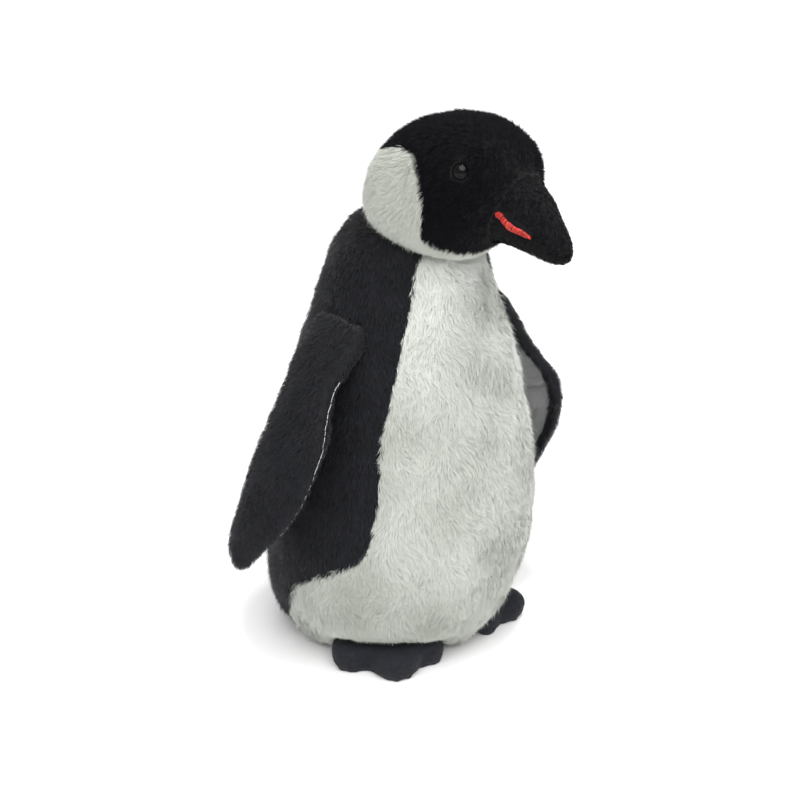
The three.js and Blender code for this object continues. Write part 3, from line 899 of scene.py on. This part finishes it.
# Along the mouth from its rear: how far down the band of stitches sits, and half its width, both as
# shares of the CAD node's own width there.
MOUTH_STEPS = (0, 0.12, 0.24, 0.4, 0.6, 0.85, 1)
MOUTH_SAG = (0.4, 0.38, 0.52, 0.66, 0.72, 0.6, 0.5)
MOUTH_HALF = (0.4, 0.46, 0.3, 0.4, 0.3, 0.36, 0.2)
MOUTH_REACH = 6 * MM  # half the length over which each thread looks for its ends
MOUTH_PROBES = 49
MOUTH_AWAY = 60 * MM  # the probes start this far from the middle plane
MOUTH_SLANT = (0.25, 0.12)  # mean and spread of how far the threads lean
MOUTH_UNEVEN = (0.16 * MM, 0.12 * MM)  # random rise and shift of a thread
THREAD_POINTS = 9


def mouth(side, looks):
    """Satin stitch over the mouth: threads laid side by side across its length."""
    name = f"mouth_stitch_{side}"
    tree = node_tree_of(name)
    low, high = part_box(name)
    outward = 1 if side == "left" else -1
    start, end = np.array([high[1], high[2]]), np.array([low[1], low[2]])
    along = unit(end - start)
    across = np.array([-along[1], along[0]])
    rng = np.random.default_rng(31)
    paths = []
    for t in np.linspace(0.01, 0.99, MOUTH_THREADS):
        centre = start + (end - start) * t
        slant = across + along * rng.normal(*MOUTH_SLANT)
        hits = []
        for v in np.linspace(-MOUTH_REACH, MOUTH_REACH, MOUTH_PROBES):
            y, z = centre + slant * v
            spot = tree.ray_cast(Vector((outward * MOUTH_AWAY, y, z)), Vector((-outward, 0, 0)))[0]
            if spot:
                hits.append([*spot])
        if len(hits) < 3:
            continue
        u = np.linspace(-1, 1, THREAD_POINTS)
        half = np.interp(t, MOUTH_STEPS, MOUTH_HALF) + rng.normal(0, 0.02)
        share = np.clip(np.interp(t, MOUTH_STEPS, MOUTH_SAG) + half * u, 0, 1)
        steps = np.linspace(0, 1, len(hits))
        path = np.array([np.interp(share, steps, column) for column in np.array(hits).T]).T
        rise = MOUTH_RISE * (0.8 + half) * np.sqrt(np.maximum(1 - u**2, 0))
        path[:, 0] += outward * (rise + rng.normal(0, MOUTH_UNEVEN[0]))
        path[:, 2] += rng.normal(0, MOUTH_UNEVEN[1])
        paths.append(path)
    obj = thread_mesh(f"mouth_threads_{side}", paths, MOUTH_THREAD_RADIUS, looks)
    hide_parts(name)
    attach(obj, "torso")


EDGE_STITCH = 3.2 * MM
EDGE_THREAD_RADIUS = 0.16 * MM
EDGE_THREAD_LIFT = 1.6 * MM
EDGE_LEVEL = 2 * MM  # spacing of the levels that trace the edge


def edge_stitches(points, normals, top, bottom):
    """Short stitches down the front edge of a wing form, between two heights."""
    rng = np.random.default_rng(7)
    line = []
    for level in np.arange(top, bottom, -EDGE_LEVEL):
        near = np.abs(points[:, 2] - level) < EDGE_LEVEL
        front = np.flatnonzero(near)[np.argsort(points[near, 1])[:4]]
        line.append(points[front].mean(0) + unit(normals[front].mean(0)) * EDGE_THREAD_LIFT)
    line = np.array(line)
    for _ in range(3):
        line[1:-1] = (line[:-2] + 2 * line[1:-1] + line[2:]) / 4
    length = np.concatenate([[0], np.cumsum(np.linalg.norm(np.diff(line, axis=0), axis=1))])
    paths = []
    for first in np.arange(0, length[-1] - EDGE_STITCH, EDGE_STITCH):
        spots = first + np.linspace(0, EDGE_STITCH * rng.uniform(0.75, 0.98), 5)
        path = np.array([np.interp(spots, length, column) for column in line.T]).T
        paths.append(path + rng.normal(0, 0.15 * MM, 3))
    return paths


# ---------- studio ----------
FLOOR_SIZE = 60  # metres
FLOOR_DROP = 0.2 * MM
WORLD_LIGHT = 0.62
SUN_LIGHT = 3.1
SUN_SPREAD = math.radians(60)
SUN_FROM = Vector((-0.45, -0.6, 1.3))
OVERHEAD_FROM = Vector((0.15, -0.15, 1.4))
OVERHEAD_TARGET = Vector((0, 0, 0.16))
OVERHEAD_SIZE = 0.16
OVERHEAD_WATTS = 5


def studio():
    work = bmesh.new()
    bmesh.ops.create_grid(work, x_segments=2, y_segments=2, size=FLOOR_SIZE / 2)
    mesh = bpy.data.meshes.new("floor")
    work.to_mesh(mesh)
    work.free()
    floor = add_object("floor", mesh)
    floor.location.z = -FLOOR_DROP
    material, _, shader = new_material("floor_paper")
    shader.inputs["Base Color"].default_value = (0.92, 0.92, 0.92, 1)
    shader.inputs["Roughness"].default_value = 0.9
    mesh.materials.append(material)
    world = bpy.data.worlds.new("studio")
    world.use_nodes = True
    world.node_tree.nodes["Background"].inputs["Color"].default_value = (1, 1, 1, 1)
    world.node_tree.nodes["Background"].inputs["Strength"].default_value = WORLD_LIGHT
    bpy.context.scene.world = world


def add_light(light, place, target):
    obj = bpy.data.objects.new(light.name, light)
    obj.location = place
    obj.rotation_euler = (target - place).to_track_quat("-Z", "Y").to_euler()
    bpy.context.collection.objects.link(obj)


def overhead():
    light = bpy.data.lights.new("overhead", "AREA")
    light.energy = OVERHEAD_WATTS
    light.size = OVERHEAD_SIZE
    add_light(light, OVERHEAD_FROM, OVERHEAD_TARGET)


def sun():
    light = bpy.data.lights.new("sun", "SUN")
    light.energy = SUN_LIGHT
    light.angle = SUN_SPREAD
    add_light(light, SUN_FROM, Vector((0, 0, 0)))


def camera():
    data = bpy.data.cameras.new("camera")
    data.lens = LENS_MM
    data.sensor_width = 36
    obj = bpy.data.objects.new("camera", data)
    a, e = VIEW_AZIMUTH, VIEW_ELEVATION
    back = Vector((math.sin(a) * math.cos(e), -math.cos(a) * math.cos(e), math.sin(e)))
    obj.location = VIEW_PIVOT + back * VIEW_DISTANCE
    aim = VIEW_PIVOT - Vector((0, 0, VIEW_AIM_DROP))
    obj.rotation_euler = (aim - obj.location).to_track_quat("-Z", "Y").to_euler()
    bpy.context.collection.objects.link(obj)
    bpy.context.scene.camera = obj


camera()
studio()
sun()
overhead()
bpy.context.scene.view_settings.view_transform = "Standard"

body_cover()
head_cover()
for side in SIDES:
    wing(side)
    foot(side)
eye_look = gloss_look("eye_gloss", (3, 3, 4), 0.04, specular=0.22)
WASHER = ((228, 226, 214), (244, 243, 236))
washer_look = backing_look("washer_plastic", *WASHER, 40, bump=0.05, sheen=0, roughness=0.5)
for side in SIDES:
    eye(side, eye_look)
    mouth(side, red_looks)
    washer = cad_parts[f"eye_washer_{side}"]
    washer.data.materials.clear()
    washer.data.materials.append(washer_look)
